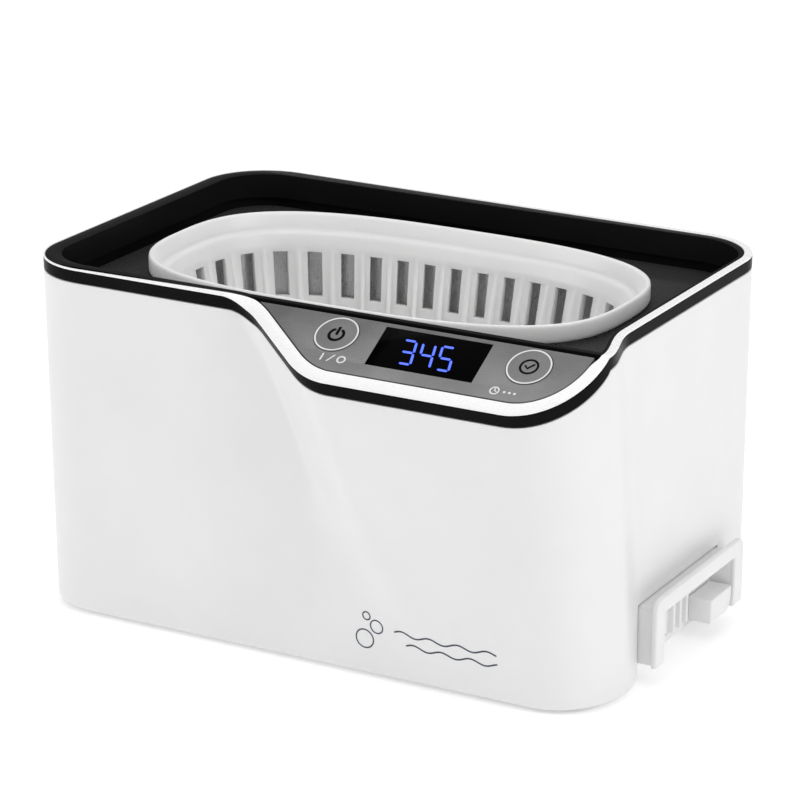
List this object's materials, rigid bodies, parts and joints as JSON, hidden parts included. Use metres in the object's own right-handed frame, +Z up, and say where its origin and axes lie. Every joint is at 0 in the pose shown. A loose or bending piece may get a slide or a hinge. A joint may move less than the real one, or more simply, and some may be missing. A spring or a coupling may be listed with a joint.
{
  "type": "ultrasonic cleaner",
  "caption": "Tabletop ultrasonic cleaner: drafted white casing with a sloping control panel, a recessed deck, an oval steel tank, a slotted lift-out basket and a cord hook.",
  "frame": {"origin": "centre of the footprint box, on the plane that the feet stand on", "axes": "+X to the right along the front, +Y from the front to the back, +Z up"},
  "size_m": [0.212, 0.164, 0.119],
  "materials": {
    "white_casing": "satin-gloss moulded ABS",
    "black_gloss": "piano black",
    "white_trim": "gloss white",
    "deck_black": "gloss black",
    "stainless": "drawn stainless steel",
    "silicone": "translucent silicone",
    "basket_white": "fine satin polypropylene",
    "panel_grey": "silver-grey metallic",
    "display_dark": "dark tinted window",
    "black_component": "moulded component body",
    "circuit_board": "green solder mask",
    "rubber_black": "matte",
    "screw_steel": "zinc plated",
    "cast_aluminium": "machined",
    "ceramic": "fired ceramic",
    "copper_wire": "enamelled copper",
    "film_red": "dipped film capacitor",
    "sleeve_blue": "shrink sleeve"
  },
  "bodies": {
    "casing": {"body_shell": "white_casing", "base_plate": "white_casing", "cord_hook": "white_casing", "inlet_block": "white_casing", "accent_band": "black_gloss", "top_frame": "black_gloss", "rim_trim": "white_trim", "deck_plate": "deck_black", "tank": "stainless", "transducer_back_mass": "stainless", "tank_seal": "silicone", "control_panel": "panel_grey", "display_window": "display_dark", "display_module": "black_component", "power_switch": "black_component", "time_switch": "black_component", "transformer": "black_component", "control_board": "circuit_board", "driver_board": "circuit_board", "foot_front_left": "rubber_black", "foot_front_right": "rubber_black", "foot_rear_left": "rubber_black", "foot_rear_right": "rubber_black", "transducer_bolt": "screw_steel", "base_screw_1": "screw_steel", "base_screw_2": "screw_steel", "base_screw_3": "screw_steel", "base_screw_4": "screw_steel", "board_screw_1": "screw_steel", "board_screw_2": "screw_steel", "board_screw_3": "screw_steel", "board_screw_4": "screw_steel", "panel_screw_1": "screw_steel", "panel_screw_2": "screw_steel", "transducer_front_mass": "cast_aluminium", "heat_sink": "cast_aluminium", "piezo_ring_upper": "ceramic", "piezo_ring_lower": "ceramic", "choke": "copper_wire", "film_capacitor": "film_red", "bulk_capacitor": "sleeve_blue"},
    "basket": {"basket": "basket_white"},
    "power_button": {"power_button": "panel_grey", "power_plunger": "black_component"},
    "time_button": {"time_button": "panel_grey", "time_plunger": "black_component"}
  },
  "joints": [
    {"name": "basket_lift", "type": "slide", "parent": "casing", "child": "basket", "axis": [0, 0, 1], "range_m": [0, 0.1]},
    {"name": "power_press", "type": "slide", "parent": "casing", "child": "power_button", "axis": [0, 0.4894, -0.8721], "range_m": [0, 0.0007], "stiffness_N_per_m": 1500, "springref_m": -0.0005},
    {"name": "time_press", "type": "slide", "parent": "casing", "child": "time_button", "axis": [0, 0.4894, -0.8721], "range_m": [0, 0.0007], "stiffness_N_per_m": 1500, "springref_m": -0.0005}
  ]
}
